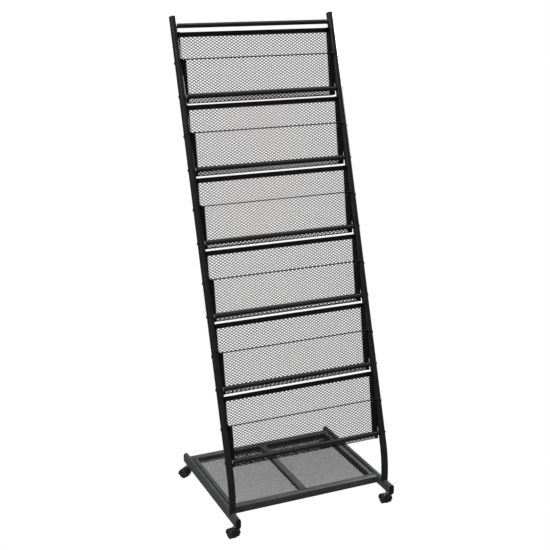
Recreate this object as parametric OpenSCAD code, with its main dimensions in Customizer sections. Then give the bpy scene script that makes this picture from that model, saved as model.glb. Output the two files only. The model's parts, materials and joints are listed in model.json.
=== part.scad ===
// Mobile six-pocket magazine rack in black powder-coated steel and expanded metal.
// Origin: on the floor, midway between the feet of the two uprights.
// +X to the right as seen from the front, +Y to the back, +Z up. Millimetres.

/* [Uprights] */
// Distance between the centre lines of the two uprights
upright_spacing = 460; // [420:5:500]
// Outside diameter of the round upright tube
upright_d = 19; // [18:0.5:20]
// Wall of the round tubes
tube_wall = 1.2; // [1:0.1:1.5]
// Lean of the uprights from vertical
lean = 18; // [16:0.5:20]
// Height of the corner where the vertical foot and the leaning length would meet
bend_z = 131; // [126:1:136]
// Bend radius of the upright's centre line
bend_r = 300; // [250:10:320]
// Length of the leaning part, from that corner to the cut end
upright_len = 1256; // [1250:1:1290]

/* [Pockets] */
// Number of pockets up the rack
pockets = 6; // [5:1:6]
// Distance from that corner to the lowest tie bar, along the upright
first_pocket = 76; // [74:1:80]
// Distance from one tie bar to the next, along the upright
pocket_pitch = 194; // [190:1:196]
// Lean of a pocket's back from vertical
pocket_lean = 9.4; // [8:0.1:11]
// Back sheet behind the tie bar's centre
pocket_back = 35.5; // [33:0.5:38]
// Front face of the side plates behind the tie bar's centre
pocket_front = 4.9; // [4.5:0.1:4.9]
// Width of the flange along the front of each side plate
flange_w = 10; // [8:0.5:12]
// Pocket floor below the tie bar's centre
pocket_floor = 15.5; // [15:0.5:18]
// Retaining wire above the tie bar's centre
pocket_wire = 96.5; // [92:0.5:100]
// Top of the back sheet above the tie bar's centre
pocket_top = 169; // [160:1:170]
// Thickness of the expanded-metal sheet
sheet_t = 1.2; // [1:0.1:1.5]
// Height of the folded hem along the top of the back sheet
hem_h = 13; // [10:1:15]
// Thickness of the pressed side plates
plate_t = 1.5; // [1:0.1:2]

/* [Base] */
// Width of the flat-oval rail tube
rail_w = 15; // [14:0.5:18]
// Height of the flat-oval rail tube
rail_h = 30; // [28:1:32]
// Height of the rail's centre line above the floor
rail_z = 55; // [55:0.5:58]
// Front end of the rail tube, ahead of the uprights' feet
rail_front = 40; // [38:1:50]
// Back end of the rail tube, behind the uprights' feet
rail_back = 374; // [370:1:390]
// Front face of the shelf frame, behind the uprights' feet
shelf_front = 27; // [24:1:30]
// Front-to-back depth of the shelf frame
shelf_depth = 332; // [320:1:336]
// Square size of the shelf frame's front and back bars
shelf_bar = 20; // [18:1:20]
// Width of the shelf frame's side bars
shelf_side = 12; // [10:1:15]

/* [Castors] */
// Wheel diameter
wheel_d = 26; // [25:1:28]
// Width of one wheel of the pair
wheel_w = 9.5; // [9:0.5:10.5]
// How far the axle trails behind the swivel
trail = 12; // [10:0.5:13]

/* [Hidden] */
$fn = 48;
eps = 0.01;

upright_r = upright_d / 2;
upright_x = upright_spacing / 2;
bend_reach = bend_r * tan(lean / 2);
bend_overlap = 0.3;
bend_slack = 0.1;

plate_outer_x = upright_x - upright_r;
plate_inner_x = plate_outer_x - plate_t;
pocket_tilt = lean - pocket_lean;
front_corner_r = 6;
back_corner_r = 9;
arc_steps = 8;
hem_t = 3;

// Side plate outline and corner radii, measured from the tie bar's centre
plate_back = pocket_back + 1.5;
plate_floor = pocket_floor + 2;
plate_rim = pocket_wire + 1.5;
plate_top = pocket_top + 0.5;
plate_neck = pocket_back - 19.5;
low_back_r = 8;
top_corner_r = 3;
notch_r = 9;
flange_r = 6;

tie_bar_d = 13.5;
tie_bar_clear = 0.5;
crossbar_d = 12.5;
crossbar_a = upright_len - 23;
rim_wire_d = 3;
rim_wire_x = upright_x - 2;

// Lip of the sheet, up the back of the tie bar
lip_v = tie_bar_d / 2 + sheet_t / 2 + 0.05;
lip_u = 4;

screw_d = 5;
screw_hole_d = 5.2;
screw_head_d = 9;
screw_head_h = 2.4;
upper_screw_u = 88;
insert_len = 14;
nut_t = 4.5;
nut_d = 9;
cap_h = 4;

rail_wall = 1.5;
rail_low_z = rail_z - rail_h / 2;
plug_flange = 3;
plug_insert = 12;
plug_gap = 0.1;

shelf_top = rail_z + 11;
shelf_back = shelf_front + shelf_depth;
shelf_gap = 3;
rail_inner_x = upright_x - rail_w / 2;
shelf_outer_x = rail_inner_x - shelf_gap;
shelf_inner_x = shelf_outer_x - shelf_side;
shelf_sheet_z = shelf_top - 12;
centre_bar_w = 20;

wheel_r = wheel_d / 2;
wheel_gap = 4.5;
wheel_clear = 0.7;
hood_t = 1.5;
hood_r = wheel_r + wheel_clear + hood_t;
hood_half = wheel_gap + wheel_w + 0.5;
hood_span = 188;
hood_start = -14;
web_t = 8;
axle_d = 5;
pin_d = 5;
pin_clear = 0.05;
housing_top = rail_low_z - 3;
castor_inset = 19;
castor_front_y = castor_inset - rail_front;
castor_back_y = rail_back - castor_inset;
floor_clear = 2.5;
boss_d = 12;
boss_web = 8;
pin_depth = 15;
collar_d = 12;
collar_clear = 0.3;
stud_d = 8;
stud_len = 11;
rivet_nut_d = 11;
rivet_nut_len = 12;
rivet_flange_d = 14;
rivet_flange_h = 0.8;
rivet_hole_d = rivet_nut_d + 0.2;
thread_fit = 0.04;
tread_edge_r = 2;
rim_ring = 4.5;
dish_depth = 1.5;

// Each castor: name, position of its swivel, and how far it is turned about it
CASTORS = [
    ["front_left", -upright_x, castor_front_y, 12],
    ["front_right", upright_x, castor_front_y, 0],
    ["rear_left", -upright_x, castor_back_y, 38],
    ["rear_right", upright_x, castor_back_y, 20]
];

// ---- Frames of reference ----

// Distance of pocket k's tie bar from the upright's corner
function pocket_a(k) = first_pocket + (k - 1) * pocket_pitch;

// Leaning frame: Z runs up the upright from its corner, Y points behind it
module on_upright(a = 0) {
    translate([0, 0, bend_z]) rotate([-lean, 0, 0]) translate([0, 0, a]) children();
}

// Frame of pocket k: Z runs up the pocket's back, Y points behind it
module on_pocket(k) {
    on_upright(pocket_a(k)) rotate([pocket_tilt, 0, 0]) children();
}

// Lays a flat outline, drawn with X to the back and Y up, along the real X axis
module along_x(x0, x1) {
    translate([x0, 0, 0]) rotate([90, 0, 90]) linear_extrude(x1 - x0) children();
}

// Round bar or cutter along the real X axis
module x_rod(d, x0, x1) {
    translate([x0, 0, 0]) rotate([0, 90, 0]) cylinder(d = d, h = x1 - x0);
}

// Points along a round corner
function arc(centre, r, from, to) = [
    for (i = [0:arc_steps])
        centre + r * [cos(from + (to - from) * i / arc_steps), sin(from + (to - from) * i / arc_steps)]
];

// ---- Uprights and crossbar ----

// Solid bar along the upright's centre line, from z = foot to the leaning distance end.
// The bend is a hair slimmer than the straights and runs a little way inside both.
module bent_bar(d, foot, end) {
    translate([0, 0, foot]) cylinder(d = d, h = bend_z - bend_reach - foot);
    translate([0, bend_r, bend_z - bend_reach]) rotate([90, 0, 90])
        rotate([0, 0, 180 - lean - bend_overlap]) rotate_extrude(angle = lean + 2 * bend_overlap)
            translate([bend_r, 0]) circle(d = d - bend_slack);
    on_upright(bend_reach) cylinder(d = d, h = end - bend_reach);
}

// Flat-oval outline of the rail tube, shrunk all round by inset
module rail_outline(inset) {
    r = rail_w / 2 - inset;
    side = rail_h / 2 - rail_w / 2;
    translate([0, side]) circle(r);
    translate([0, -side]) circle(r);
    square([2 * r, 2 * side], center = true);
}

module rail_bar(inset, y0, y1) {
    translate([0, y1, rail_z]) rotate([90, 0, 0]) linear_extrude(y1 - y0) rail_outline(inset);
}

module upright() {
    difference() {
        bent_bar(upright_d, rail_z + rail_h / 2 - rail_w / 2, upright_len);
        bent_bar(upright_d - 2 * tube_wall, 0, upright_len + 1);
        rail_bar(0, -upright_d, upright_d);
        for (k = [1:pockets]) {
            on_upright(pocket_a(k)) x_rod(screw_hole_d, -upright_d, upright_d);
            on_pocket(k) translate([0, upper_screw_v(), upper_screw_u])
                x_rod(screw_hole_d, -upright_d, upright_d);
        }
    }
}

// The upper screw sits on the upright's centre line, this far behind the pocket's own axis
function upper_screw_v() = upper_screw_u * tan(pocket_tilt);

module left_upright() {
    color("#1b1b1c") translate([-upright_x, 0, 0]) upright();
}

module right_upright() {
    color("#1b1b1c") translate([upright_x, 0, 0]) upright();
}

module upright_end_plugs() {
    bore = upright_d - 2 * tube_wall - 2 * plug_gap;
    color("#111111") for (side = [-1, 1]) translate([side * upright_x, 0, 0]) on_upright(upright_len) {
        translate([0, 0, -plug_insert]) cylinder(d = bore, h = plug_insert + 1);
        intersection() {
            cylinder(d = upright_d, h = cap_h);
            translate([0, 0, cap_h - upright_d]) sphere(r = upright_d);
        }
    }
}

module top_crossbar() {
    color("#1b1b1c") on_upright(crossbar_a) difference() {
        x_rod(crossbar_d, -upright_x + 1, upright_x - 1);
        x_rod(crossbar_d - 2 * tube_wall, -upright_x, upright_x);
        for (side = [-1, 1]) translate([side * upright_x, 0, -crossbar_d])
            cylinder(d = upright_d, h = 2 * crossbar_d);
    }
}

// ---- Base ----

module base_rail() {
    difference() {
        rail_bar(0, -rail_front, rail_back);
        rail_bar(rail_wall, -rail_front - 1, rail_back + 1);
        for (y = [castor_front_y, castor_back_y])
            translate([0, y, rail_low_z - 1]) cylinder(d = rivet_hole_d, h = rail_w / 2);
    }
}

module left_base_rail() {
    color("#232426") translate([-upright_x, 0, 0]) base_rail();
}

module right_base_rail() {
    color("#232426") translate([upright_x, 0, 0]) base_rail();
}

// Four plugs that close the ends of the two rails
module rail_end_plugs() {
    color("#1a1a1a") for (side = [-1, 1]) translate([side * upright_x, 0, 0]) {
        rail_bar(0, rail_back, rail_back + plug_flange);
        rail_bar(rail_wall + plug_gap, rail_back - plug_insert, rail_back + eps);
        rail_bar(0, -rail_front - plug_flange, -rail_front);
        rail_bar(rail_wall + plug_gap, -rail_front - eps, -rail_front + plug_insert);
    }
}

// Box from one corner to the other
module block(low, high) {
    translate(low) cube(high - low);
}

// The shelf frame's five bars, shrunk all round by inset. The front and back bars run on
// past their ends by over, and the other three end inside them.
module shelf_bars(inset, over) {
    low = shelf_top - shelf_bar + inset;
    high = shelf_top - inset;
    y0 = shelf_front + shelf_bar / 2;
    y1 = shelf_back - shelf_bar / 2;
    for (y = [shelf_front, shelf_back - shelf_bar])
        block([-rail_inner_x - over, y + inset, low], [rail_inner_x + over, y + shelf_bar - inset, high]);
    for (x0 = [-shelf_outer_x, shelf_inner_x])
        block([x0 + inset, y0, low], [x0 + shelf_side - inset, y1, high]);
    block([-centre_bar_w / 2 + inset, y0, shelf_sheet_z + sheet_t / 2 + inset],
        [centre_bar_w / 2 - inset, y1, high]);
}

module shelf_frame() {
    color("#232426") difference() {
        shelf_bars(0, 0);
        shelf_bars(tube_wall, 1);
    }
}

module shelf_mesh() {
    color("#3a3b3c") block(
        [-shelf_inner_x, shelf_front + shelf_bar, shelf_sheet_z - sheet_t / 2],
        [shelf_inner_x, shelf_back - shelf_bar, shelf_sheet_z + sheet_t / 2]);
}

// ---- Pockets ----

// Outer or inner line of the bent sheet, offset out from its middle by half its thickness
function sheet_line(out) = let(
        f = [lip_v + front_corner_r, -pocket_floor + front_corner_r],
        b = [pocket_back - back_corner_r, -pocket_floor + back_corner_r]
    ) concat(
        [[lip_v - out, lip_u]],
        arc(f, front_corner_r + out, 180, 270),
        arc(b, back_corner_r + out, 270, 360),
        [[pocket_back + out, pocket_top]]
    );

function reversed(points) = [for (i = [len(points) - 1:-1:0]) points[i]];

module sheet_outline() {
    polygon(concat(sheet_line(sheet_t / 2), reversed(sheet_line(-sheet_t / 2))));
    translate([pocket_back - hem_t / 2, pocket_top - hem_h]) square([hem_t, hem_h]);
}

// Sheet of expanded metal bent into a low lip, floor and back, its top edge folded into a hem
module mesh_basket(k) {
    color("#2a2a2b") on_pocket(k) along_x(-plate_inner_x, plate_inner_x) sheet_outline();
}

// Outline of a side plate: deep up to the wire, narrow up the back sheet above it
module plate_outline() {
    low = -plate_floor;
    polygon(concat(
        [[pocket_front, low]],
        arc([plate_back - low_back_r, low + low_back_r], low_back_r, 270, 360),
        arc([plate_back - top_corner_r, plate_top - top_corner_r], top_corner_r, 0, 90),
        arc([plate_neck + top_corner_r, plate_top - top_corner_r], top_corner_r, 90, 180),
        arc([plate_neck - notch_r, plate_rim + notch_r], notch_r, 360, 270),
        [[pocket_front, plate_rim]]
    ));
}

// Flange turned inwards along the right-hand plate's front edge, with a gap round the tie bar
module plate_flange() {
    inner = plate_outer_x - flange_w;
    difference() {
        translate([0, pocket_front + plate_t, 0]) rotate([90, 0, 0]) linear_extrude(plate_t)
            polygon(concat(
                [[plate_outer_x, -plate_floor], [plate_outer_x, plate_rim]],
                arc([inner + flange_r, plate_rim - flange_r], flange_r, 90, 180),
                arc([inner + flange_r, -plate_floor + flange_r], flange_r, 180, 270)
            ));
        x_rod(tie_bar_d + 2 * tie_bar_clear, inner - 1, plate_inner_x);
    }
}

module right_side_plate() {
    along_x(plate_inner_x, plate_outer_x) difference() {
        plate_outline();
        circle(d = screw_hole_d);
        translate([upper_screw_v(), upper_screw_u]) circle(d = screw_hole_d);
    }
    plate_flange();
}

module left_plate(k) {
    color("#161617") on_pocket(k) mirror([1, 0, 0]) right_side_plate();
}

module right_plate(k) {
    color("#161617") on_pocket(k) right_side_plate();
}

// Retaining wire welded across the two flanges and on to the front of the uprights
module rim_wire(k) {
    color("#2a2a2b") on_pocket(k) translate([0, pocket_front - rim_wire_d / 2, pocket_wire])
        x_rod(rim_wire_d, -rim_wire_x, rim_wire_x);
}

// Tube between the two side plates, just above the pocket's floor
module tie_bar(k) {
    color("#1b1b1c") on_pocket(k) difference() {
        x_rod(tie_bar_d, -plate_inner_x, plate_inner_x);
        x_rod(tie_bar_d - 2 * tube_wall, -plate_inner_x - 1, plate_inner_x + 1);
    }
}

// Threaded insert in each end of every tie bar
module tie_bar_inserts() {
    color("silver") for (k = [1:pockets]) on_pocket(k) for (side = [0, 1]) mirror([side, 0, 0])
        difference() {
            x_rod(tie_bar_d - 2 * tube_wall - thread_fit, plate_inner_x - insert_len, plate_inner_x);
            x_rod(screw_d + thread_fit, plate_inner_x - insert_len - 1, plate_inner_x + 1);
        }
}

// Screw with a domed head, entering from the outside of the upright, its tip at x = tip
module screw(tip) {
    seat = upright_x + upright_r;
    x_rod(screw_d, tip, seat + eps);
    translate([seat, 0, 0]) rotate([0, 90, 0]) intersection() {
        cylinder(d = screw_head_d, h = screw_head_h);
        translate([0, 0, screw_head_h - screw_head_d]) sphere(r = screw_head_d);
    }
}

// Two screws a side for each pocket: the long one into the tie bar, the short one into a nut
module pocket_screws() {
    color("#141414") for (k = [1:pockets]) on_pocket(k) for (side = [0, 1]) mirror([side, 0, 0]) {
        screw(plate_inner_x - insert_len + 2);
        translate([0, upper_screw_v(), upper_screw_u]) screw(plate_inner_x - nut_t);
    }
}

module plate_nuts() {
    color("#2a2a2b") for (k = [1:pockets]) on_pocket(k) for (side = [0, 1]) mirror([side, 0, 0])
        translate([0, upper_screw_v(), upper_screw_u]) difference() {
            translate([plate_inner_x - nut_t, 0, 0]) rotate([0, 90, 0])
                cylinder(d = nut_d, h = nut_t, $fn = 6);
            x_rod(screw_d + thread_fit, plate_inner_x - nut_t - 1, plate_inner_x + 1);
        }
}

// ---- Castors ----

// Places a child at castor c: Z is the swivel axis, the wheels trail towards Y
module at_castor(c) {
    translate([c[1], c[2], 0]) rotate([0, 0, c[3]]) children();
}

// Steel insert in the underside of each rail, with a thin flange below it
module rail_rivet_nuts() {
    color("silver") for (c = CASTORS) translate([c[1], c[2], 0]) difference() {
        union() {
            translate([0, 0, rail_low_z]) cylinder(d = rivet_nut_d, h = rivet_nut_len);
            translate([0, 0, rail_low_z - rivet_flange_h]) cylinder(d = rivet_flange_d, h = rivet_flange_h);
        }
        translate([0, 0, rail_low_z - 1]) cylinder(d = stud_d + thread_fit, h = rivet_nut_len + 2);
    }
}

// Stud with a collar, and the plain pin below it that the housing turns on
module castor_stems() {
    collar_z = housing_top + collar_clear;
    color("silver") for (c = CASTORS) translate([c[1], c[2], 0]) {
        translate([0, 0, housing_top - pin_depth]) cylinder(d = pin_d, h = pin_depth + 1);
        translate([0, 0, collar_z]) cylinder(d = collar_d, h = rail_low_z - rivet_flange_h - collar_z);
        translate([0, 0, rail_low_z - rivet_flange_h - 1]) cylinder(d = stud_d, h = stud_len);
    }
}

// Cylinder across the castor, about the axle
module about_axle(r, half) {
    translate([0, trail, wheel_r]) x_rod(2 * r, -half, half);
}

module castor_housing(c) {
    color("#0e0e0f") at_castor(c) difference() {
        union() {
            // Hood over both wheels
            translate([0, trail, wheel_r]) rotate([90, 0, 90]) rotate([0, 0, hood_start])
                rotate_extrude(angle = hood_span, $fn = 96)
                    translate([hood_r - hood_t, -hood_half]) square([hood_t, 2 * hood_half]);
            // Web between the wheels
            about_axle(hood_r - 1, web_t / 2);
            // Boss around the swivel pin
            difference() {
                translate([0, 0, wheel_r]) cylinder(d = boss_d, h = housing_top - wheel_r);
                about_axle(hood_r - hood_t, 2 * hood_half);
            }
            translate([-web_t / 2, -boss_web / 2, wheel_r])
                cube([web_t, boss_web, housing_top - wheel_r - 1]);
        }
        translate([0, 0, housing_top - pin_depth - 0.5])
            cylinder(d = pin_d + 2 * pin_clear, h = pin_depth + 1);
        about_axle(axle_d / 2 + thread_fit / 2, 2 * hood_half);
        // Flat underside, clear of the floor
        block([-wheel_d, -wheel_d, -wheel_d], [wheel_d, 2 * wheel_d, floor_clear]);
    }
}

module castor_axle(c) {
    color("silver") at_castor(c) about_axle(axle_d / 2, hood_half - 1.5);
}

// Wheel with a rounded tread and a shallow dish in its outer face, on the castor's +X side
module wheel() {
    bore_r = axle_d / 2 + pin_clear;
    dish_r = wheel_r - rim_ring;
    dish_w = wheel_w - dish_depth;
    edge_r = wheel_r - tread_edge_r;
    translate([wheel_gap, trail, wheel_r]) rotate([90, 0, 90]) rotate_extrude($fn = 96) polygon(concat(
        [[bore_r, 0]],
        arc([edge_r, tread_edge_r], tread_edge_r, -90, 0),
        arc([edge_r, wheel_w - tread_edge_r], tread_edge_r, 0, 90),
        [[dish_r, wheel_w], [dish_r - 1, dish_w], [bore_r, dish_w]]
    ));
}

module wheel_a(c) {
    color("#131313") at_castor(c) wheel();
}

module wheel_b(c) {
    color("#131313") at_castor(c) mirror([1, 0, 0]) wheel();
}

left_upright();
right_upright();
upright_end_plugs();
top_crossbar();
left_base_rail();
right_base_rail();
rail_end_plugs();
shelf_frame();
shelf_mesh();
for (k = [1:pockets]) {
    mesh_basket(k);
    left_plate(k);
    right_plate(k);
    rim_wire(k);
    tie_bar(k);
}
tie_bar_inserts();
pocket_screws();
plate_nuts();
rail_rivet_nuts();
castor_stems();
for (c = CASTORS) {
    castor_housing(c);
    castor_axle(c);
    wheel_a(c);
    wheel_b(c);
}
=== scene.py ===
"""Looks of a mobile six-pocket magazine rack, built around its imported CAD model.

Metres, +X to the right seen from the front, +Y to the back, +Z up, origin on the floor.
"""

import json
import math

import bmesh
import bpy
from mathutils import Matrix, Vector


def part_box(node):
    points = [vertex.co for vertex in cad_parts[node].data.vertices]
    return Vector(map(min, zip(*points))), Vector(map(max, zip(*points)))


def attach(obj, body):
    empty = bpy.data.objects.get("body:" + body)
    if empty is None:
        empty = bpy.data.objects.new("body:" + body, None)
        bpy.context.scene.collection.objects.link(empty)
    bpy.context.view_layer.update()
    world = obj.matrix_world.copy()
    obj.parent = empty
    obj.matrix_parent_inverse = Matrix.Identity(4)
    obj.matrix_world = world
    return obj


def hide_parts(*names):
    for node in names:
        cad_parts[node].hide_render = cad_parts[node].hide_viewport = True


MM = 0.001
BODY = "frame"

# Pocket sheet, in the pocket's own plane: v points behind the tie bar, u runs up the pocket
POCKET_LEAN = math.radians(9.4)
SHEET_LIP = 7.4 * MM
LIP_TOP = 4 * MM
SHEET_BACK = 35.5 * MM
SHEET_FLOOR = -18 * MM
SHEET_TOP = 169 * MM
FRONT_BEND_R = 3 * MM
BACK_BEND_R = 9 * MM
HEM_H = 13 * MM
HEM_T = 2.6 * MM

# Expanded metal: one diamond's width and height, its strand, and how far a strand leans
DIAMOND = (12.2 * MM, 7.7 * MM)
STRAND = 1.64 * MM
SHELF_DIAMOND = (8.2 * MM, 5.2 * MM)
SHELF_STRAND = 0.7 * MM
STRAND_T = 0.9 * MM
STRAND_LEAN = -0.3 * MM

# Uprights
LEAN = math.radians(18)
BEND_Z = 131 * MM
BEND_R = 300 * MM
UPRIGHT_LEN = 1256 * MM
UPRIGHT_R = 9.5 * MM
CAP_H = 4 * MM

# Shelf frame, and the weld beads
SHELF_GAP = 3 * MM
CENTRE_BAR_HALF = 10 * MM
TUBE_CORNER_R = 1.6 * MM
BEAD_R = 0.9 * MM
FINE_BEAD_R = 0.6 * MM
BEAD_RIPPLE = 0.12 * MM
BEAD_STEP = 1.2 * MM
BEAD_INSET = 0.4 * MM

# Castors
HOOD_R = 15.2 * MM
HOOD_T = 1.5 * MM
HOOD_HALF = 14.5 * MM
WEB_HALF = 4 * MM
BOSS_R = 6 * MM
HOUSING_TOP = 37 * MM
FLOOR_CLEAR = 2.5 * MM
WHEEL_NEAR = 4.5 * MM
WHEEL_FAR = 14 * MM
WHEEL_RIM = 4.5 * MM
HUB_R = 3.8 * MM

# Pocket screws: the upper one's height above the tie bar, and the head's size
UPPER_SCREW_U = 88 * MM
SCREW_HEAD_R = 4.2 * MM
SCREW_HEAD_H = 1.5 * MM
SCREW_SOCKET_R = 1.8 * MM
SCREW_SOCKET_DEEP = 1.1 * MM
SCREW_R = 2.5 * MM

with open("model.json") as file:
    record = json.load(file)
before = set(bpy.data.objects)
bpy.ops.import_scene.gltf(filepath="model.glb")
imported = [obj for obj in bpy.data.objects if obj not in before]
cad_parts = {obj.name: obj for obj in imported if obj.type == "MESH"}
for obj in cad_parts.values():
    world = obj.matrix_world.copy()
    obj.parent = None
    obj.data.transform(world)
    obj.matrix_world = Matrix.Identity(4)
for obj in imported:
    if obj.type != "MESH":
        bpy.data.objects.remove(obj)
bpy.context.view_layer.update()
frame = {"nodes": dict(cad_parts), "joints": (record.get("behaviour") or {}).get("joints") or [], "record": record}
joints = {j["name"]: j for j in frame["joints"]}


# ---- Boxes and places taken from the frame ----


def middle(node):
    low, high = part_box(node)
    return (low + high) / 2


POCKETS = sum(1 for n in frame["nodes"] if n.startswith("mesh_basket_"))
CASTORS = sorted(n[: -len("_castor_housing")] for n in frame["nodes"] if n.endswith("_castor_housing"))
SHEET_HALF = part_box("mesh_basket_1")[1].x
UPRIGHT_X = middle("right_base_rail").x
RAIL_LOW, RAIL_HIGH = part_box("right_base_rail")
RAIL_Z = (RAIL_LOW.z + RAIL_HIGH.z) / 2
RAIL_R = (RAIL_HIGH.x - RAIL_LOW.x) / 2
RAIL_SIDE = (RAIL_HIGH.z - RAIL_LOW.z) / 2 - RAIL_R


def pocket_matrix(k):
    """Places a mesh drawn as (x, v, u) at pocket k, about its tie bar's centre."""
    return Matrix.Translation(middle(f"tie_bar_{k}")) @ Matrix.Rotation(-POCKET_LEAN, 4, "X")


def up_upright(side, a):
    """Point on an upright's axis at distance a above its corner."""
    return Vector((side * UPRIGHT_X, a * math.sin(LEAN), BEND_Z + a * math.cos(LEAN)))


# ---- Materials ----


def new_material(name):
    mat = bpy.data.materials.new(name)
    mat.use_nodes = True
    tree = mat.node_tree
    return mat, tree, tree.nodes["Principled BSDF"]


def noise(tree, scale, detail=2.0, stretch=None):
    """A noise texture over the object's own coordinates, in metres."""
    coords = tree.nodes.new("ShaderNodeTexCoord")
    out = coords.outputs["Object"]
    if stretch:
        mapping = tree.nodes.new("ShaderNodeMapping")
        mapping.inputs["Scale"].default_value = stretch
        tree.links.new(out, mapping.inputs["Vector"])
        out = mapping.outputs["Vector"]
    tex = tree.nodes.new("ShaderNodeTexNoise")
    tex.inputs["Scale"].default_value = scale
    tex.inputs["Detail"].default_value = detail
    tree.links.new(out, tex.inputs["Vector"])
    return tex.outputs["Fac"]


def ranged(tree, value, low, high):
    node = tree.nodes.new("ShaderNodeMapRange")
    node.inputs["From Min"].default_value = 0.3
    node.inputs["From Max"].default_value = 0.7
    node.inputs["To Min"].default_value = low
    node.inputs["To Max"].default_value = high
    tree.links.new(value, node.inputs["Value"])
    return node.outputs["Result"]


def blended(tree, value, dark, light):
    node = tree.nodes.new("ShaderNodeMix")
    node.data_type = "RGBA"
    node.inputs["A"].default_value = (*dark, 1)
    node.inputs["B"].default_value = (*light, 1)
    tree.links.new(ranged(tree, value, 0.0, 1.0), node.inputs["Factor"])
    return node.outputs["Result"]


def bumped(tree, shader, value, strength, distance):
    node = tree.nodes.new("ShaderNodeBump")
    node.inputs["Strength"].default_value = strength
    node.inputs["Distance"].default_value = distance
    tree.links.new(value, node.inputs["Height"])
    tree.links.new(node.outputs["Normal"], shader.inputs["Normal"])


def powder_coat(name, tone, rough, shine, grain=0.3):
    """Black powder coat: orange-peel grain, and gloss that drifts a little from place to place."""
    mat, tree, shader = new_material(name)
    dark = tuple(c * 0.8 for c in tone)
    light = tuple(c * 1.3 for c in tone)
    tree.links.new(blended(tree, noise(tree, 22, 4), dark, light), shader.inputs["Base Color"])
    tree.links.new(ranged(tree, noise(tree, 45, 3), rough - 0.06, rough + 0.06), shader.inputs["Roughness"])
    shader.inputs["Specular IOR Level"].default_value = shine
    bumped(tree, shader, noise(tree, 900, 2), grain, 0.0002)
    return mat


def moulded_plastic(name, tone, rough, shine, grain=0.25):
    mat, tree, shader = new_material(name)
    light = tuple(c * 1.5 for c in tone)
    tree.links.new(blended(tree, noise(tree, 60, 5), tone, light), shader.inputs["Base Color"])
    tree.links.new(ranged(tree, noise(tree, 120, 4), rough - 0.08, rough + 0.08), shader.inputs["Roughness"])
    shader.inputs["Specular IOR Level"].default_value = shine
    bumped(tree, shader, noise(tree, 1600, 3), grain, 0.0001)
    return mat


def rolled_tread(name, tone, dusty):
    """Nylon wheel: plain black with dull scuffs from the floor."""
    mat, tree, shader = new_material(name)
    scuffs = noise(tree, 260, 6, (1, 1, 0.4))
    tree.links.new(blended(tree, scuffs, tone, dusty), shader.inputs["Base Color"])
    tree.links.new(ranged(tree, scuffs, 0.42, 0.68), shader.inputs["Roughness"])
    shader.inputs["Specular IOR Level"].default_value = 0.4
    bumped(tree, shader, noise(tree, 700, 4), 0.3, 0.0002)
    return mat


def zinc_plate(name, tone):
    mat, tree, shader = new_material(name)
    lines = noise(tree, 900, 4, (1, 1, 0.15))
    light = tuple(min(1, c * 1.15) for c in tone)
    tree.links.new(blended(tree, lines, tone, light), shader.inputs["Base Color"])
    tree.links.new(ranged(tree, lines, 0.22, 0.38), shader.inputs["Roughness"])
    shader.inputs["Metallic"].default_value = 1.0
    bumped(tree, shader, lines, 0.15, 0.0001)
    return mat


MATERIALS = {
    "tube_paint": powder_coat("tube_paint", (0.006, 0.0062, 0.0064), 0.34, 0.4),
    # base_paint's tone is painted light: the same black powder coat as the tubes, drawn about six times lighter to
    # stand in for the light from above on the rails, shelf bars and weld beads
    "base_paint": powder_coat("base_paint", (0.038, 0.039, 0.04), 0.38, 0.4),
    "mesh_paint": powder_coat("mesh_paint", (0.003, 0.003, 0.0031), 0.45, 0.22),
    "shelf_mesh_paint": powder_coat("shelf_mesh_paint", (0.012, 0.012, 0.0125), 0.42, 0.4),
    "plate_paint": powder_coat("plate_paint", (0.003, 0.003, 0.0031), 0.42, 0.18),
    "plug_plastic": moulded_plastic("plug_plastic", (0.004, 0.004, 0.004), 0.5, 0.3),
    "screw_black": powder_coat("screw_black", (0.006, 0.006, 0.006), 0.3, 0.35, 0.1),
    "plated_steel": zinc_plate("plated_steel", (0.56, 0.57, 0.58)),
    "castor_plastic": moulded_plastic("castor_plastic", (0.008, 0.008, 0.0085), 0.36, 0.45),
    "wheel_plastic": rolled_tread("wheel_plastic", (0.01, 0.01, 0.01), (0.025, 0.024, 0.023)),
}


# ---- Mesh helpers ----


def add_mesh(name, mesh, slot, body=BODY, replaces=(), matrix=None, bevel=0.0, smooth=35):
    mesh.validate()
    if smooth:
        mesh.shade_smooth()
        mesh.set_sharp_from_angle(angle=math.radians(smooth))
    if not mesh.materials:
        mesh.materials.append(MATERIALS[slot])
    piece = bpy.data.objects.new(name, mesh)
    bpy.context.scene.collection.objects.link(piece)
    if matrix is not None:
        piece.matrix_world = matrix
    if bevel:
        edge = piece.modifiers.new("edge", "BEVEL")
        edge.width = bevel
        edge.segments = 2
        edge.limit_method = "ANGLE"
        edge.angle_limit = math.radians(40)
        edge.harden_normals = True
    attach(piece, body)
    if replaces:
        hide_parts(*replaces)
    return piece


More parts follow.
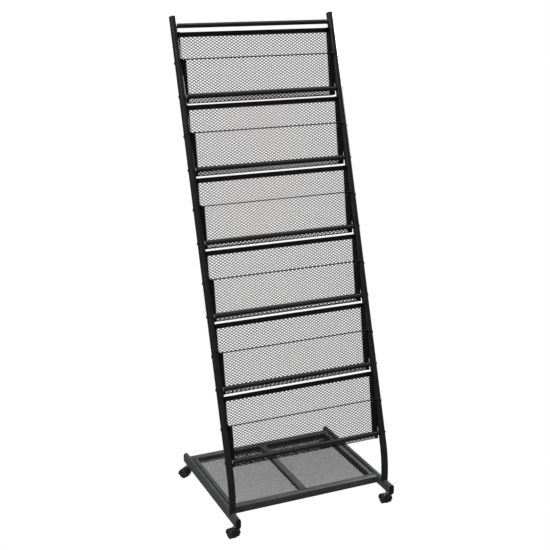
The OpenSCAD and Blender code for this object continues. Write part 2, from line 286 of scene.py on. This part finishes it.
class Shape:
    """Vertices and faces gathered from several closed forms, which become one piece."""

    def __init__(self):
        self.verts = []
        self.faces = []

    def add(self, verts, faces):
        base = len(self.verts)
        self.verts += [Vector(v) for v in verts]
        self.faces += [[base + i for i in f] for f in faces]

    def sweep(self, points, radius, sides=16, closed=False):
        """Round bar along points, capped unless closed. radius is a number or one per point."""
        points = [Vector(p) for p in points]
        n = len(points)
        radii = [radius] * n if isinstance(radius, (int, float)) else list(radius)
        tangents = []
        for i in range(n):
            after = points[(i + 1) % n] if closed or i < n - 1 else points[i]
            before = points[i - 1] if closed or i > 0 else points[i]
            tangents.append((after - before).normalized())
        normal = tangents[0].orthogonal().normalized()
        rings = []
        for i in range(n):
            normal = (normal - tangents[i] * normal.dot(tangents[i])).normalized()
            other = tangents[i].cross(normal)
            rings.append([
                points[i] + radii[i] * (normal * math.cos(t) + other * math.sin(t))
                for t in (2 * math.pi * s / sides for s in range(sides))
            ])
        faces = []
        for i in range(n if closed else n - 1):
            a, b = i * sides, ((i + 1) % n) * sides
            faces += ring_quads(a, b, sides)
        if not closed:
            faces.append(list(range(sides))[::-1])
            faces.append([(n - 1) * sides + s for s in range(sides)])
        self.add([v for ring in rings for v in ring], faces)

    def loft(self, rings):
        """Skin over rings that all have the same number of points, flat at both ends."""
        n = len(rings[0])
        faces = [list(range(n))[::-1], [(len(rings) - 1) * n + i for i in range(n)]]
        for j in range(len(rings) - 1):
            faces += ring_quads(j * n, (j + 1) * n, n)
        self.add([v for ring in rings for v in ring], faces)

    def dome(self, profile, matrix, steps=48):
        """Turns an open outline that starts and ends on the axis, closed by one point at each end."""
        inner = profile[1:-1]
        n = len(inner)
        verts = [matrix @ Vector((0, 0, profile[0][1])), matrix @ Vector((0, 0, profile[-1][1]))]
        verts += [
            matrix @ Vector((r * math.cos(t), r * math.sin(t), h))
            for t in (2 * math.pi * s / steps for s in range(steps))
            for r, h in inner
        ]
        faces = []
        for s in range(steps):
            a, b = 2 + s * n, 2 + ((s + 1) % steps) * n
            faces.append([0, b, a])
            faces.append([1, a + n - 1, b + n - 1])
            faces += [[a + i, b + i, b + i + 1, a + i + 1] for i in range(n - 1)]
        self.add(verts, faces)

    def prism(self, outline, depth0, depth1, matrix):
        """Closed outline of (x, y) points, from z = depth0 to depth1 in matrix's frame."""
        n = len(outline)
        verts = [matrix @ Vector((x, y, z)) for z in (depth0, depth1) for x, y in outline]
        faces = [list(range(n))[::-1], list(range(n, 2 * n))]
        faces += ring_quads(0, n, n)
        self.add(verts, faces)

    def piece(self, name, slot, **rest):
        mesh = bpy.data.meshes.new(name)
        mesh.from_pydata([tuple(v) for v in self.verts], [], self.faces)
        work = bmesh.new()
        work.from_mesh(mesh)
        bmesh.ops.recalc_face_normals(work, faces=work.faces)
        work.to_mesh(mesh)
        work.free()
        return add_mesh(name, mesh, slot, **rest)


def arc(cx, cy, r, start, end, steps=8):
    return [
        (cx + r * math.cos(t), cy + r * math.sin(t))
        for t in (math.radians(start + (end - start) * i / steps) for i in range(steps + 1))
    ]


def ring_quads(a, b, n):
    """Quads between two rings of n points each, which start at points a and b."""
    return [[a + i, a + (i + 1) % n, b + (i + 1) % n, b + i] for i in range(n)]


ALONG_X = Matrix(((0, 0, 1, 0), (1, 0, 0, 0), (0, 1, 0, 0), (0, 0, 0, 1)))  # outline in Y and Z, depth in X


def rounded_box(low, high, r):
    """Outline of a rectangle with round corners."""
    (x0, y0), (x1, y1) = low, high
    return (
        arc(x1 - r, y1 - r, r, 0, 90, 4)
        + arc(x0 + r, y1 - r, r, 90, 180, 4)
        + arc(x0 + r, y0 + r, r, 180, 270, 4)
        + arc(x1 - r, y0 + r, r, 270, 360, 4)
    )


# ---- Expanded metal ----


def diamond_mesh(name, width, length, place, slot, diamond=DIAMOND, strand=STRAND):
    """Sheet of expanded metal. place(x, s) gives the point and the normal at s along the sheet."""
    cols = round(width / diamond[0])
    rows = 2 * round(length / diamond[1])
    half_w, half_h = width / cols / 2, length / rows
    inset = 1 - strand / 2 / (half_w * half_h / math.hypot(half_w, half_h))
    verts, faces, corner = [], [], {}

    def point(x, s, out=0.0):
        at, normal = place(x, s)
        verts.append(at + normal * out)
        return len(verts) - 1

    def lattice(m, j):
        if (m, j) not in corner:
            corner[m, j] = point(m * half_w - width / 2, j * half_h)
        return corner[m, j]

    for m in range(2 * cols + 1):
        for j in range(m % 2, rows + 1, 2):
            x, s = m * half_w - width / 2, j * half_h
            tips = {}
            if m < 2 * cols:
                tips["r"] = (lattice(m + 1, j), point(x + half_w * inset, s))
            if j < rows:
                tips["t"] = (lattice(m, j + 1), point(x, s + half_h * inset, STRAND_LEAN))
            if m > 0:
                tips["l"] = (lattice(m - 1, j), point(x - half_w * inset, s))
            if j > 0:
                tips["b"] = (lattice(m, j - 1), point(x, s - half_h * inset, -STRAND_LEAN))
            for a, b in ("rt", "tl", "lb", "br"):
                if a in tips and b in tips:
                    faces.append([tips[a][0], tips[b][0], tips[b][1], tips[a][1]])
    mesh = bpy.data.meshes.new(name)
    mesh.from_pydata([tuple(v) for v in verts], [], faces)
    mesh.materials.append(MATERIALS[slot])
    return mesh


def thicken(piece, thickness):
    solid = piece.modifiers.new("sheet", "SOLIDIFY")
    solid.thickness = thickness
    solid.offset = 0.0


def pocket_path():
    """The bent sheet as (length, point and normal at a distance along it) stretches."""
    quarter = math.pi / 2
    f = Vector((SHEET_LIP + FRONT_BEND_R, SHEET_FLOOR + FRONT_BEND_R))
    b = Vector((SHEET_BACK - BACK_BEND_R, SHEET_FLOOR + BACK_BEND_R))

    def straight(start, way, normal):
        return lambda d: (start + way * d, normal)

    def bend(centre, r, start):
        def at(d):
            t = start + d / r
            out = Vector((math.cos(t), math.sin(t)))
            return centre + out * r, out
        return at

    return [
        (LIP_TOP - f.y, straight(Vector((SHEET_LIP, LIP_TOP)), Vector((0, -1)), Vector((-1, 0)))),
        (quarter * FRONT_BEND_R, bend(f, FRONT_BEND_R, 2 * quarter)),
        (b.x - f.x, straight(Vector((f.x, SHEET_FLOOR)), Vector((1, 0)), Vector((0, -1)))),
        (quarter * BACK_BEND_R, bend(b, BACK_BEND_R, 3 * quarter)),
        (SHEET_TOP - b.y, straight(Vector((SHEET_BACK, b.y)), Vector((0, 1)), Vector((1, 0)))),
    ]


def pocket_meshes():
    stretches = pocket_path()
    length = sum(d for d, _ in stretches)

    def place(x, s):
        for d, at in stretches[:-1]:
            if s <= d:
                break
            s -= d
        else:
            at = stretches[-1][1]
        point, normal = at(s)
        return Vector((x, *point)), Vector((0, *normal))

    mesh = diamond_mesh("pocket_mesh", 2 * SHEET_HALF, length, place, "mesh_paint")
    for k in range(1, POCKETS + 1):
        piece = add_mesh(
            f"pocket_mesh_{k}", mesh, "mesh_paint", matrix=pocket_matrix(k),
            replaces=[f"mesh_basket_{k}"], smooth=0,
        )
        thicken(piece, STRAND_T)


def pocket_hems():
    """Folded strip along the top of each back sheet, with a shallow crease at mid height."""
    low = SHEET_TOP - HEM_H
    half = HEM_T / 2
    mid = SHEET_TOP - HEM_H / 2
    crease = 0.35 * MM
    front, back = SHEET_BACK - half, SHEET_BACK + half
    outline = (
        [(front, low), (back, low), (back, mid - crease), (back - crease, mid), (back, mid + crease)]
        + arc(SHEET_BACK, SHEET_TOP - half, half, 0, 180, 8)
        + [(front, mid + crease), (front + crease, mid), (front, mid - crease)]
    )
    for k in range(1, POCKETS + 1):
        strip = Shape()
        strip.prism(outline, -SHEET_HALF, SHEET_HALF, ALONG_X)
        strip.piece(f"pocket_hem_{k}", "mesh_paint", matrix=pocket_matrix(k))


def shelf_mesh():
    low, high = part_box("shelf_mesh")
    z = (low.z + high.z) / 2

    def place(x, s):
        return Vector((x, low.y + s, z)), Vector((0, 0, 1))

    mesh = diamond_mesh(
        "shelf_diamonds", high.x - low.x, high.y - low.y, place, "shelf_mesh_paint",
        SHELF_DIAMOND, SHELF_STRAND,
    )
    piece = add_mesh("shelf_diamonds", mesh, "shelf_mesh_paint", replaces=["shelf_mesh"], smooth=0)
    thicken(piece, STRAND_T)


# ---- Tubes ----


def upright_line(side):
    """Points up an upright's axis: foot, bend and leaning length."""
    reach = BEND_R * math.tan(LEAN / 2)
    points = [Vector((side * UPRIGHT_X, 0, RAIL_Z + RAIL_SIDE))]
    steps = 24
    for i in range(steps + 1):
        t = LEAN * i / steps
        points.append(Vector((
            side * UPRIGHT_X,
            BEND_R * (1 - math.cos(t)),
            BEND_Z - reach + BEND_R * math.sin(t),
        )))
    pieces = 8
    leaning = UPRIGHT_LEN - reach
    points += [up_upright(side, reach + leaning * i / pieces) for i in range(1, pieces + 1)]
    return points


def uprights():
    for side, name in ((-1, "left"), (1, "right")):
        tube = Shape()
        tube.sweep(upright_line(side), UPRIGHT_R, 40)
        tube.piece(f"{name}_upright_tube", "tube_paint", replaces=[f"{name}_upright"])


def upright_caps():
    """Domed plugs with a thin parting groove above the tube's end."""
    caps = Shape()
    r = UPRIGHT_R
    groove = 0.5 * MM
    profile = (
        [(0, 0), (r - groove, 0), (r - groove, groove)]
        + [(r - 0.1 * MM, groove * 1.5)]
        + [(r - 0.1 * MM, 1.3 * MM), (r - 0.5 * MM, 1.7 * MM), (r * 0.75, 2.6 * MM)]
        + [(r * 0.45, CAP_H - 0.5 * MM), (0, CAP_H)]
    )
    for side in (-1, 1):
        tilt = Matrix.Rotation(-LEAN, 4, "X")
        caps.dome(profile, Matrix.Translation(up_upright(side, UPRIGHT_LEN)) @ tilt, 40)
    caps.piece("upright_caps", "plug_plastic", replaces=["upright_end_plugs"])


def crossbar():
    low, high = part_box("top_crossbar")
    centre = middle("top_crossbar")
    bar = Shape()
    bar.sweep([Vector((x, centre.y, centre.z)) for x in (low.x, 0, high.x)], (high.z - low.z) / 2, 32)
    bar.piece("crossbar_tube", "tube_paint", replaces=["top_crossbar"])


def rail_outline(inset=0.0):
    r = RAIL_R - inset
    return arc(0, RAIL_SIDE, r, 0, 180, 12) + arc(0, -RAIL_SIDE, r, 180, 360, 12)


def rail_plug(plugs, along_y, end, tip):
    """Plug in a rail's end at y = end, rounding over to its own end at y = tip."""
    # Share of the plug's length, and how far its outline is drawn in there, in mm
    steps = [(0.0, 0.35), (0.12, 0.0), (0.62, 0.0), (0.86, 0.5), (0.96, 1.3), (1.0, 2.6)]
    rings = []
    for share, inset in steps:
        y = end + (tip - end) * share
        rings.append([along_y @ Vector((x, z, -y)) for x, z in rail_outline(inset * MM)])
    plugs.loft(rings)


def base_rails():
    """Flat-oval tubes with a rounded plug in each end."""
    plug_low, plug_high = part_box("rail_end_plugs")
    plugs = Shape()
    for side, name in ((-1, "left"), (1, "right")):
        along_y = Matrix.Translation((side * UPRIGHT_X, 0, RAIL_Z)) @ Matrix.Rotation(math.pi / 2, 4, "X")
        rail = Shape()
        rail.prism(rail_outline(), -RAIL_HIGH.y, -RAIL_LOW.y, along_y)
        rail.piece(f"{name}_rail_tube", "base_paint", replaces=[f"{name}_base_rail"], bevel=0.3 * MM)
        rail_plug(plugs, along_y, RAIL_LOW.y, plug_low.y)
        rail_plug(plugs, along_y, RAIL_HIGH.y, plug_high.y)
    plugs.piece("rail_plugs", "plug_plastic", replaces=["rail_end_plugs"])


def shelf_bars():
    """The shelf frame's square tubes, with the small outside radius that drawn tube has."""
    low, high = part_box("shelf_frame")
    mesh_low, mesh_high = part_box("shelf_mesh")
    depth = mesh_low.y - low.y
    bars = Shape()
    for y in (low.y, high.y - depth):
        bars.prism(rounded_box((y, low.z), (y + depth, high.z), TUBE_CORNER_R), low.x, high.x, ALONG_X)
    side_w = RAIL_LOW.x - SHELF_GAP - mesh_high.x
    along_y = Matrix(((1, 0, 0, 0), (0, 0, 1, 0), (0, 1, 0, 0), (0, 0, 0, 1)))
    y0, y1 = mesh_low.y - depth / 4, mesh_high.y + depth / 4
    for x in (mesh_low.x - side_w, mesh_high.x):
        bars.prism(rounded_box((x, low.z), (x + side_w, high.z), TUBE_CORNER_R), y0, y1, along_y)
    half = CENTRE_BAR_HALF
    bars.prism(rounded_box((-half, mesh_high.z), (half, high.z), TUBE_CORNER_R), y0, y1, along_y)
    bars.piece("shelf_bars", "base_paint", replaces=["shelf_frame"])


def foot_line(side):
    """Where an upright's foot meets the round top of its rail."""
    steps, points = 72, []
    for i in range(steps):
        t = 2 * math.pi * i / steps
        x, y = UPRIGHT_R * math.cos(t), UPRIGHT_R * math.sin(t)
        on_rail = math.sqrt(max(0.0, RAIL_R**2 - x**2))
        points.append(Vector((side * UPRIGHT_X + x, y, RAIL_Z + RAIL_SIDE + on_rail)))
    return points


def crossbar_line(side):
    """Where the crossbar's end meets an upright."""
    steps, points = 48, []
    low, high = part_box("top_crossbar")
    centre, bar_r = (low + high) / 2, (high.z - low.z) / 2
    for i in range(steps):
        t = 2 * math.pi * i / steps
        off = bar_r * math.cos(t)
        across = math.sqrt(UPRIGHT_R**2 - off**2)
        behind = Vector((0, math.cos(LEAN), -math.sin(LEAN))) * off
        along = Vector((0, math.sin(LEAN), math.cos(LEAN))) * bar_r * math.sin(t)
        points.append(Vector((side * (UPRIGHT_X - across), centre.y, centre.z)) + behind + along)
    return points


def bar_end_line(x, y0, y1, z0, z1):
    """Round the end of a square tube, at x, just inside its outline."""
    lowest, highest = (y0 + BEAD_INSET, z0 + BEAD_INSET), (y1 - BEAD_INSET, z1 - BEAD_INSET)
    outline = rounded_box(lowest, highest, TUBE_CORNER_R)
    corners = [Vector((x, y, z)) for y, z in outline]
    points = []
    for a, b in zip(corners, corners[1:] + corners[:1]):
        count = max(1, round((b - a).length / BEAD_STEP))
        points += [a.lerp(b, i / count) for i in range(count)]
    return points


def weld_beads():
    """Rippled beads where tubes and bars meet."""
    beads = Shape()

    def bead(points, r):
        radii = [r + BEAD_RIPPLE * math.sin(i * 1.7) for i in range(len(points))]
        beads.sweep(points, radii, 8, closed=True)

    for side in (-1, 1):
        bead(foot_line(side), BEAD_R)
        bead(crossbar_line(side), FINE_BEAD_R)
    low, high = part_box("shelf_frame")
    mesh_low, mesh_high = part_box("shelf_mesh")
    for x in (low.x + BEAD_INSET, high.x - BEAD_INSET):
        for y0, y1 in ((low.y, mesh_low.y), (mesh_high.y, high.y)):
            bead(bar_end_line(x, y0, y1, low.z, high.z), BEAD_R)
    beads.piece("weld_beads", "base_paint")


# ---- Fasteners ----


def screw_places():
    """Side, pocket and place of every pocket screw: one at the tie bar, one above it."""
    upper_v = UPPER_SCREW_U * math.tan(LEAN - POCKET_LEAN)
    for k in range(1, POCKETS + 1):
        for side in (-1, 1):
            for v, u in ((0.0, 0.0), (upper_v, UPPER_SCREW_U)):
                yield side, k, v, u


def screw_head(heads, place):
    """Button head with a hexagon socket, on the plane of place."""
    steps, crown = 36, 62
    turns = [2 * math.pi * i / steps for i in range(steps)]
    rings = [[(SCREW_HEAD_R, 0)] * steps]
    for c, s in arc(0, 0, 1, 0, crown, 6):
        r, h = SCREW_HEAD_R * (0.35 + 0.65 * c), SCREW_HEAD_H * s / math.sin(math.radians(crown))
        rings.append([(r, h)] * steps)
    sixth = math.pi / 3
    socket = [SCREW_SOCKET_R / math.cos((t + sixth / 2) % sixth - sixth / 2) for t in turns]
    rings.append([(r, SCREW_HEAD_H) for r in socket])
    rings.append([(r, SCREW_HEAD_H - SCREW_SOCKET_DEEP) for r in socket])
    heads.loft([
        [place @ Vector((r * math.cos(t), r * math.sin(t), h)) for t, (r, h) in zip(turns, ring)]
        for ring in rings
    ])


def pocket_screws():
    """Heads on the outer side of both uprights, and the shanks behind them."""
    seat = UPRIGHT_X + UPRIGHT_R
    inner = SHEET_HALF - 5 * MM
    heads, shanks = Shape(), Shape()
    for side, k, v, u in screw_places():
        turn = Matrix.Rotation(side * math.pi / 2, 4, "Y")
        screw_head(heads, pocket_matrix(k) @ Matrix.Translation((side * seat, v, u)) @ turn)
        ends = [pocket_matrix(k) @ Vector((side * x, v, u)) for x in (inner, seat)]
        shanks.sweep(ends, SCREW_R, 20)
    heads.piece("pocket_screw_heads", "screw_black", replaces=["pocket_screws"])
    shanks.piece("pocket_screw_shanks", "plated_steel")


# ---- Castors ----


def castor_frame(name):
    """Frame at a castor's axle: Z along the axle, X straight back from the swivel, Y up."""
    roll = joints[f"{name}_wheel_a_roll"]
    axle = Vector(roll["axis"]).normalized()
    up = Vector((0, 0, 1))
    back = up.cross(axle)
    place = Matrix((back, up, axle)).transposed().to_4x4()
    place.translation = Vector(roll["pos_m"])
    return place


def castor_housing(name):
    at = castor_frame(name)
    swivel = Vector(joints[f"{name}_swivel"]["pos_m"])
    body = Shape()
    # Hood: a rounded strip swept round the axle
    strip = rounded_box((HOOD_R - HOOD_T, -HOOD_HALF), (HOOD_R, HOOD_HALF), 0.8 * MM)
    steps, start, span = 48, -14, 188
    turns = [math.radians(start + span * i / steps) for i in range(steps + 1)]
    body.loft([[at @ Vector((r * math.cos(t), r * math.sin(t), w)) for r, w in strip] for t in turns])
    # Web between the wheels, flat below
    r = HOOD_R - 1 * MM
    axle_z = at.translation.z
    cut = math.degrees(math.asin((axle_z - FLOOR_CLEAR) / r))
    web = arc(0, 0, r, -cut, 180 + cut, 60)
    body.prism(web, -WEB_HALF, WEB_HALF, at)
    # Boss round the swivel pin, with a soft top edge
    soft = 1.2 * MM
    boss = (
        [(0, axle_z + HOOD_R * 0.55), (BOSS_R, axle_z + HOOD_R * 0.55)]
        + arc(BOSS_R - soft, HOUSING_TOP - soft, soft, 0, 90, 5)
        + [(0, HOUSING_TOP)]
    )
    body.dome(boss, Matrix.Translation((swivel.x, swivel.y, 0)), 40)
    return body.piece(
        f"{name}_castor_shell", "castor_plastic", body=f"{name}_castor",
        replaces=[f"{name}_castor_housing"], bevel=0.35 * MM,
    )


def castor_wheel(name, letter, sign):
    """Drum wheel with a split tread, a dished outer face and six ribs round its hub."""
    low, high = WHEEL_NEAR, WHEEL_FAR
    r = castor_frame(name).translation.z
    dish = high - 2.0 * MM
    flip = Matrix.Diagonal((1, 1, sign, 1))
    at = castor_frame(name) @ flip
    edge = 2 * MM
    groove = 0.45 * MM
    mid = (low + high) / 2
    wheel = Shape()
    profile = (
        [(0, low), (r - edge, low)]
        + arc(r - edge, low + edge, edge, -90, 0, 6)
        + [(r, mid - 2 * groove), (r - groove, mid - groove)]
        + [(r - groove, mid + groove), (r, mid + 2 * groove)]
        + arc(r - edge, high - edge, edge, 0, 90, 6)
        + [(r - WHEEL_RIM, high), (r - WHEEL_RIM - 0.8 * MM, dish)]
        + [(HUB_R + 0.4 * MM, dish), (HUB_R, high - 1.2 * MM)]
        + [(HUB_R * 0.6, high - 0.8 * MM), (0, high - 0.7 * MM)]
    )
    wheel.dome(profile, at, 64)
    ribs = 6
    for i in range(ribs):
        turn = Matrix.Rotation(2 * math.pi * i / ribs, 4, "Z")
        rib = rounded_box((HUB_R - 0.5 * MM, -0.6 * MM), (r - 5 * MM, 0.6 * MM), 0.3 * MM)
        wheel.prism(rib, dish - 0.3 * MM, high - 1.1 * MM, at @ turn)
    return wheel.piece(
        f"{name}_wheel_{letter}_tyre", "wheel_plastic", body=f"{name}_wheel_{letter}_body",
        replaces=[f"{name}_wheel_{letter}"],
    )


# ---- CAD nodes that keep their own shape ----


def dress_cad_nodes():
    slots = {s["node"]: s["material_slot"] for s in frame["record"]["subparts"]}
    for node, piece in frame["nodes"].items():
        for slot in piece.material_slots:
            slot.link = "OBJECT"
            slot.material = MATERIALS[slots[node]]


def soften_edges(node, width):
    """Rounds a plate's cut edges a little without touching its mesh."""
    piece = frame["nodes"][node]
    weld = piece.modifiers.new("join", "WELD")
    weld.merge_threshold = 0.00001
    edge = piece.modifiers.new("edge", "BEVEL")
    edge.width = width
    edge.segments = 2
    edge.limit_method = "ANGLE"
    edge.angle_limit = math.radians(40)
    edge.harden_normals = True


# ---- Stage ----


def stage():
    """Plain white to the camera, with weak fill, two soft suns and a panel that glints on the tubes."""
    world = bpy.data.worlds.new("studio")
    bpy.context.scene.world = world
    world.use_nodes = True
    tree = world.node_tree
    tree.nodes.clear()
    out = tree.nodes.new("ShaderNodeOutputWorld")
    mix = tree.nodes.new("ShaderNodeMixShader")
    path = tree.nodes.new("ShaderNodeLightPath")
    dim = tree.nodes.new("ShaderNodeBackground")
    bright = tree.nodes.new("ShaderNodeBackground")
    dim.inputs["Color"].default_value = (1, 1, 1, 1)
    dim.inputs["Strength"].default_value = 0.22
    bright.inputs["Color"].default_value = (1, 1, 1, 1)
    bright.inputs["Strength"].default_value = 1.0
    tree.links.new(path.outputs["Is Camera Ray"], mix.inputs["Fac"])
    tree.links.new(dim.outputs[0], mix.inputs[1])
    tree.links.new(bright.outputs[0], mix.inputs[2])
    tree.links.new(mix.outputs[0], out.inputs["Surface"])

    def sun(name, strength, angle, azimuth, elevation):
        lamp = bpy.data.lights.new(name, "SUN")
        lamp.energy = strength
        lamp.angle = math.radians(angle)
        holder = bpy.data.objects.new(name, lamp)
        a, e = math.radians(azimuth), math.radians(elevation)
        towards = Vector((math.sin(a) * math.cos(e), -math.cos(a) * math.cos(e), math.sin(e)))
        holder.rotation_mode = "QUATERNION"
        holder.rotation_quaternion = towards.to_track_quat("Z", "Y")
        bpy.context.scene.collection.objects.link(holder)

    sun("key", 2.4, 50, -65, 52)
    sun("top", 1.2, 60, 40, 75)

    lamp = bpy.data.lights.new("side panel", "AREA")
    lamp.energy = 70
    lamp.shape = "RECTANGLE"
    lamp.size, lamp.size_y = 0.6, 0.8
    holder = bpy.data.objects.new("side panel", lamp)
    holder.location = (1.5, 0.9, 1.6)
    holder.rotation_mode = "QUATERNION"
    holder.rotation_quaternion = (holder.location - Vector((0.2, 0.3, 1.1))).to_track_quat("Z", "Y")
    bpy.context.scene.collection.objects.link(holder)


def camera():
    lens = bpy.data.cameras.new("camera")
    lens.sensor_width = 36
    lens.lens = 69.08
    eye = bpy.data.objects.new("camera", lens)
    eye.location = (-1.1305, -2.3243, 1.4935)
    azimuth, elevation = math.radians(-23.766), math.radians(17.099)
    eye.rotation_euler = (math.pi / 2 - elevation, 0, azimuth)
    bpy.context.scene.collection.objects.link(eye)
    bpy.context.scene.camera = eye
    bpy.context.scene.view_settings.view_transform = "Standard"


camera()
stage()
dress_cad_nodes()
pocket_meshes()
pocket_hems()
shelf_mesh()
uprights()
upright_caps()
crossbar()
base_rails()
shelf_bars()
weld_beads()
pocket_screws()
for castor in CASTORS:
    castor_housing(castor)
    castor_wheel(castor, "a", 1)
    castor_wheel(castor, "b", -1)
for k in range(1, POCKETS + 1):
    soften_edges(f"left_plate_{k}", 0.4 * MM)
    soften_edges(f"right_plate_{k}", 0.4 * MM)
